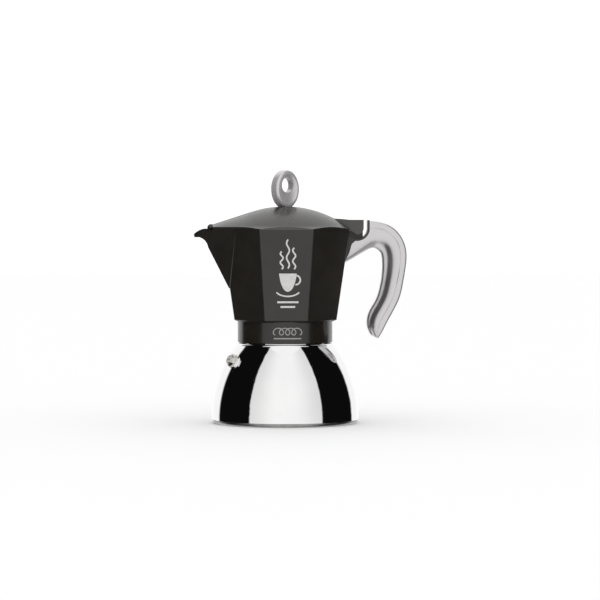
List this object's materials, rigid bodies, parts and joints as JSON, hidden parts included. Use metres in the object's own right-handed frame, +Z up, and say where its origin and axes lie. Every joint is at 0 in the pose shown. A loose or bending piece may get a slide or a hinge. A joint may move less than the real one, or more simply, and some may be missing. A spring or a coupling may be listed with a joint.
{
  "type": "moka pot",
  "caption": "Eight-sided stovetop moka pot with a steel boiler, safety valve, funnel, hinged lid with a ring knob and a curved handle.",
  "frame": {"origin": "centre of the boiler's flat base, on the boiler's axis", "axes": "+Z up along the boiler's axis, -X towards the spout, +X towards the handle, -Y towards the front facet"},
  "size_m": [0.1474, 0.1016, 0.1748],
  "materials": {
    "polished_steel": "mirror polished",
    "steel_sheet": "satin",
    "black_coating": "satin",
    "grey_plastic": "satin",
    "seal_rubber": "matt",
    "plain_aluminium": "satin",
    "nickel_plating": "bright nickel on brass",
    "mark_paint": "printed marks"
  },
  "bodies": {
    "boiler": {"boiler": "polished_steel", "boiler_floor": "polished_steel", "boiler_base_disc": "steel_sheet", "valve_body": "nickel_plating", "valve_washer": "seal_rubber", "valve_nut": "nickel_plating", "valve_cap": "nickel_plating", "valve_spring": "steel_sheet", "funnel": "plain_aluminium", "funnel_plate": "plain_aluminium"},
    "valve_piston": {"valve_piston": "steel_sheet"},
    "seals": {"gasket": "seal_rubber", "filter_plate": "plain_aluminium"},
    "collector": {"collector": "black_coating", "collector_column": "black_coating", "hinge_bracket": "black_coating", "handle_grip": "grey_plastic", "handle_cover": "grey_plastic", "handle_screw": "steel_sheet"},
    "lid": {"lid": "black_coating", "lid_knob": "grey_plastic", "knob_washer": "steel_sheet", "knob_screw": "steel_sheet", "hinge_pin": "steel_sheet"}
  },
  "joints": [
    {"name": "seal_lift", "type": "slide", "parent": "boiler", "child": "seals", "axis": [0, 0, 1], "range_m": [0, 0.0068]},
    {"name": "unscrew", "type": "hinge", "parent": "seals", "child": "collector", "pos_m": [0, 0, 0.06], "axis": [0, 0, 1], "range_deg": [0, 810]},
    {"name": "lid_hinge", "type": "hinge", "parent": "collector", "child": "lid", "pos_m": [0.0495, 0, 0.1348], "axis": [0, 1, 0], "range_deg": [0, 100]},
    {"name": "valve_lift", "type": "slide", "parent": "boiler", "child": "valve_piston", "axis": [-0.766, -0.4422, 0.4666], "range_m": [0, 0.0015], "stiffness_N_per_m": 300, "springref_m": -0.003, "deforming": ["valve_spring"]}
  ],
  "couplings": [
    {"joint": "seal_lift", "follows": "unscrew", "m_per_rad": 0.00047746}
  ]
}
